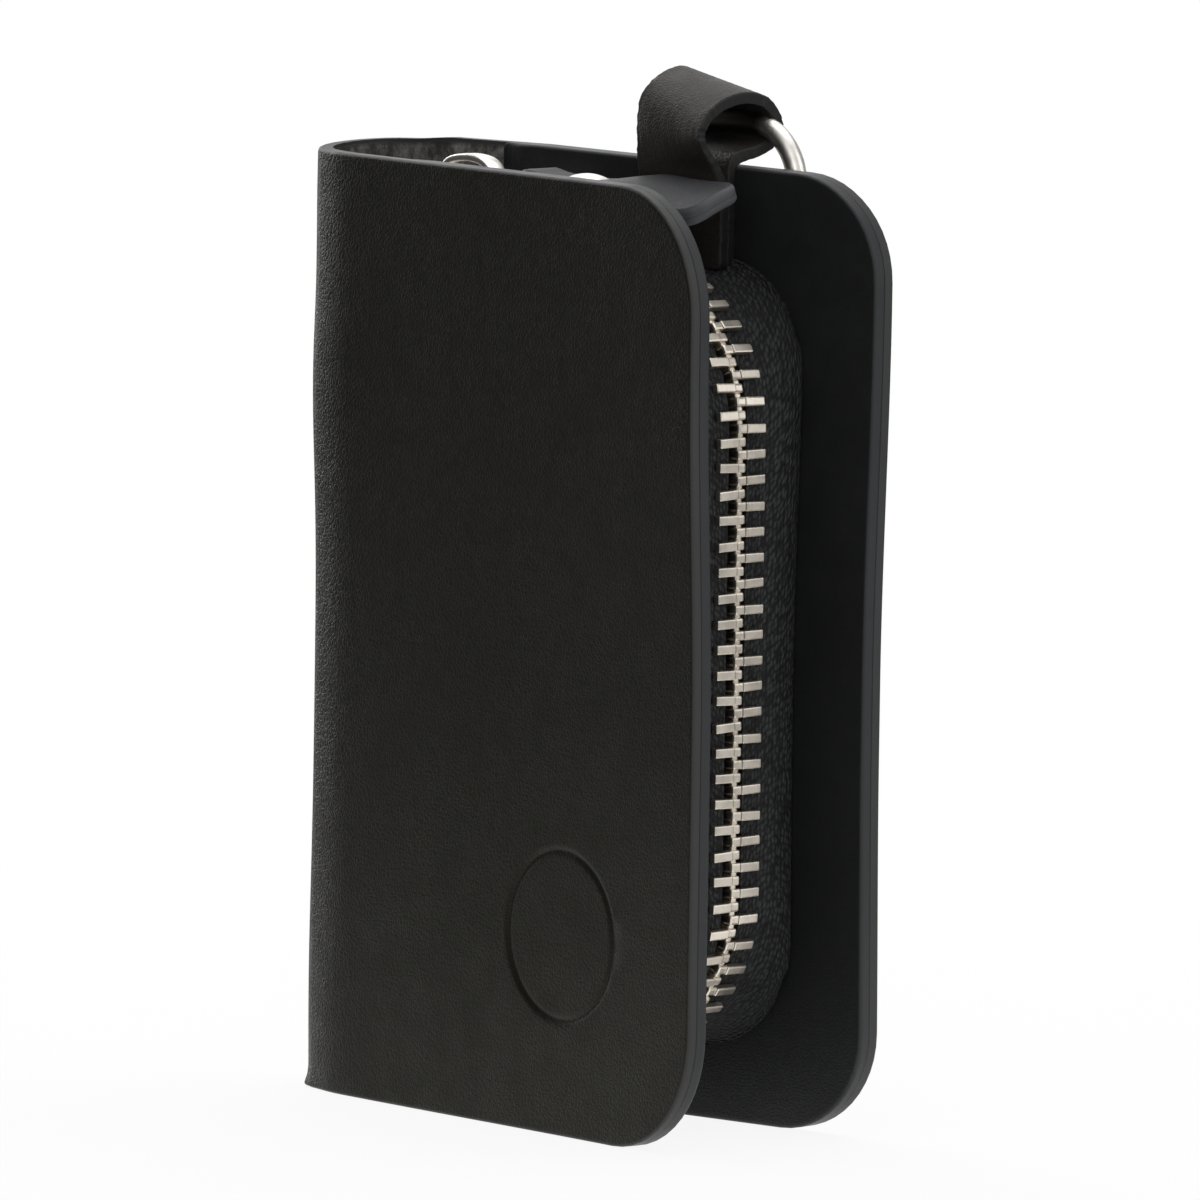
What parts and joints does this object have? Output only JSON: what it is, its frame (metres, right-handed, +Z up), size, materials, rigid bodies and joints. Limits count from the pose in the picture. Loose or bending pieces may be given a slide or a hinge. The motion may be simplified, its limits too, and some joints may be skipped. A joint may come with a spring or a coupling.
{
  "type": "key case",
  "caption": "Folded leather key case with a pouch closed by a metal zip, a leather pull tab, a hang loop with a ring and key hooks inside.",
  "frame": {"origin": "under the middle of the object's box, on the surface that the case stands on", "axes": "+X from the spine to the zip's free side, +Y from the front panel to the back panel, +Z up along the spine"},
  "size_m": [0.0698, 0.0304, 0.1098],
  "materials": {
    "cover_leather": "satin",
    "lining_leather": "satin",
    "tab_leather": "satin",
    "strap_leather": "satin",
    "zip_tape": "matte",
    "zip_metal": "satin",
    "rivet_metal": "satin",
    "ring_metal": "satin",
    "hook_metal": "polished"
  },
  "bodies": {
    "back_half": {"back_cover": "cover_leather", "back_lining": "lining_leather", "back_zip_tape": "zip_tape", "back_zip_teeth": "zip_metal", "back_top_stop": "zip_metal", "zip_bottom_stop": "zip_metal", "hang_loop": "strap_leather", "hook_plate": "hook_metal", "hook_plate_rivets": "rivet_metal", "hook_rod": "hook_metal"},
    "front_half": {"front_cover": "cover_leather", "front_lining": "lining_leather", "front_zip_tape": "zip_tape", "front_zip_teeth": "zip_metal", "front_top_stop": "zip_metal"},
    "slider": {"slider_body": "zip_metal", "slider_crown": "zip_metal"},
    "puller": {"puller_link": "zip_metal"},
    "pull_tab": {"pull_tab_leather": "tab_leather", "tab_rivet_cap": "rivet_metal", "tab_rivet_post": "rivet_metal"},
    "ring": {"hanging_ring": "ring_metal"},
    "key_hook_1": {"key_hook_1": "hook_metal"},
    "key_hook_2": {"key_hook_2": "hook_metal"},
    "key_hook_3": {"key_hook_3": "hook_metal"},
    "key_hook_4": {"key_hook_4": "hook_metal"}
  },
  "joints": [
    {"name": "cover_hinge", "type": "hinge", "parent": "back_half", "child": "front_half", "pos_m": [-0.03486, -0.00159, 0], "axis": [0, 0, -1], "range_deg": [0, 60]},
    {"name": "zip_slide", "type": "slide", "parent": "back_half", "child": "slider", "axis": [0.9903, 0, -0.1392], "range_m": [0, 0.02], "deforming": ["front_zip_teeth", "back_zip_teeth"]},
    {"name": "puller_swing", "type": "hinge", "parent": "slider", "child": "puller", "pos_m": [-0.01164, -0.00159, 0.09817], "axis": [0, -1, 0], "range_deg": [0, 100]},
    {"name": "pull_tab_swing", "type": "hinge", "parent": "puller", "child": "pull_tab", "pos_m": [-0.00354, -0.00159, 0.09817], "axis": [0, -1, 0], "range_deg": [0, 70]},
    {"name": "ring_swing", "type": "hinge", "parent": "back_half", "child": "ring", "pos_m": [0.01015, 0.01219, 0.10568], "axis": [0.9938, 0.1115, 0], "range_deg": [-6, 170]},
    {"name": "key_hook_1_swing", "type": "hinge", "parent": "back_half", "child": "key_hook_1", "pos_m": [-0.00293, 0.00186, 0.07578], "axis": [-0.9938, -0.1115, 0], "range_deg": [-4, 35]},
    {"name": "key_hook_2_swing", "type": "hinge", "parent": "back_half", "child": "key_hook_2", "pos_m": [0.00303, 0.00253, 0.07578], "axis": [-0.9938, -0.1115, 0], "range_deg": [-4, 35]},
    {"name": "key_hook_3_swing", "type": "hinge", "parent": "back_half", "child": "key_hook_3", "pos_m": [0.00899, 0.0032, 0.07578], "axis": [-0.9938, -0.1115, 0], "range_deg": [-4, 35]},
    {"name": "key_hook_4_swing", "type": "hinge", "parent": "back_half", "child": "key_hook_4", "pos_m": [0.01495, 0.00387, 0.07578], "axis": [-0.9938, -0.1115, 0], "range_deg": [-4, 35]}
  ]
}
